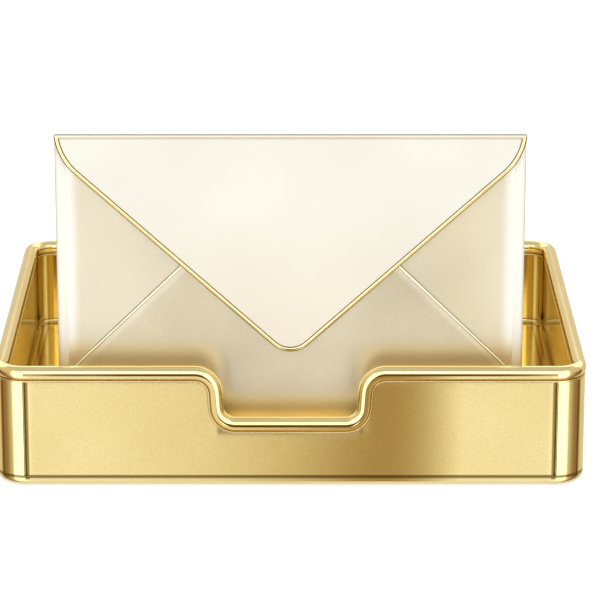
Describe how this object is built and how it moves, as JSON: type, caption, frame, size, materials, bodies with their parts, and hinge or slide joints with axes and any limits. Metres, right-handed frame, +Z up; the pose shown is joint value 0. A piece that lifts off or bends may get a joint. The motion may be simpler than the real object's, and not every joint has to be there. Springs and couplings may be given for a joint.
{
  "type": "desk letter tray with upright envelope",
  "caption": "Open rectangular desk tray with a round rim rail and a scooped front, holding an upright metal envelope that lifts out and has a hinged flap.",
  "frame": {"origin": "middle of the tray's length and depth, on the surface that the feet stand on", "axes": "+Z up, +X to the right seen from the front, +Y to the back, so the scooped front faces -Y"},
  "size_m": [0.291, 0.227, 0.1747],
  "materials": {
    "polished_gold": "polished",
    "satin_gold": "satin",
    "liner_gold": "polished",
    "bead_gold": "polished",
    "pearl_lacquer": "satin",
    "flap_lacquer": "satin",
    "screw_steel": "satin",
    "foot_rubber": "matte"
  },
  "bodies": {
    "tray": {"base_rail": "polished_gold", "base_plate": "satin_gold", "feet": "foot_rubber", "base_screws": "screw_steel", "threaded_posts": "screw_steel", "inner_liner": "liner_gold", "front_panel": "satin_gold", "rear_panel": "satin_gold", "left_panel": "satin_gold", "right_panel": "satin_gold", "rim_collar": "polished_gold", "rim_rail": "polished_gold", "rail_joiner": "screw_steel", "envelope_channel": "satin_gold", "channel_screws": "screw_steel", "channel_nuts": "screw_steel", "corner_post_front_left": "polished_gold", "corner_post_front_right": "polished_gold", "corner_post_rear_left": "polished_gold", "corner_post_rear_right": "polished_gold"},
    "envelope": {"envelope_frame": "pearl_lacquer", "back_plate": "pearl_lacquer", "hinge_pin": "screw_steel", "pocket_panel": "pearl_lacquer", "side_flap_left": "pearl_lacquer", "side_flap_right": "pearl_lacquer", "seam_bead_left": "bead_gold", "seam_bead_right": "bead_gold"},
    "flap": {"flap_panel": "flap_lacquer", "flap_bead": "bead_gold", "flap_top_rim": "flap_lacquer"}
  },
  "joints": [
    {"name": "envelope_lift", "type": "slide", "parent": "tray", "child": "envelope", "axis": [0, 0, 1], "range_m": [0, 0.06]},
    {"name": "flap_hinge", "type": "hinge", "parent": "envelope", "child": "flap", "pos_m": [0, -0.08475, 0.1703], "axis": [-1, 0, 0], "range_deg": [0, 180]}
  ]
}
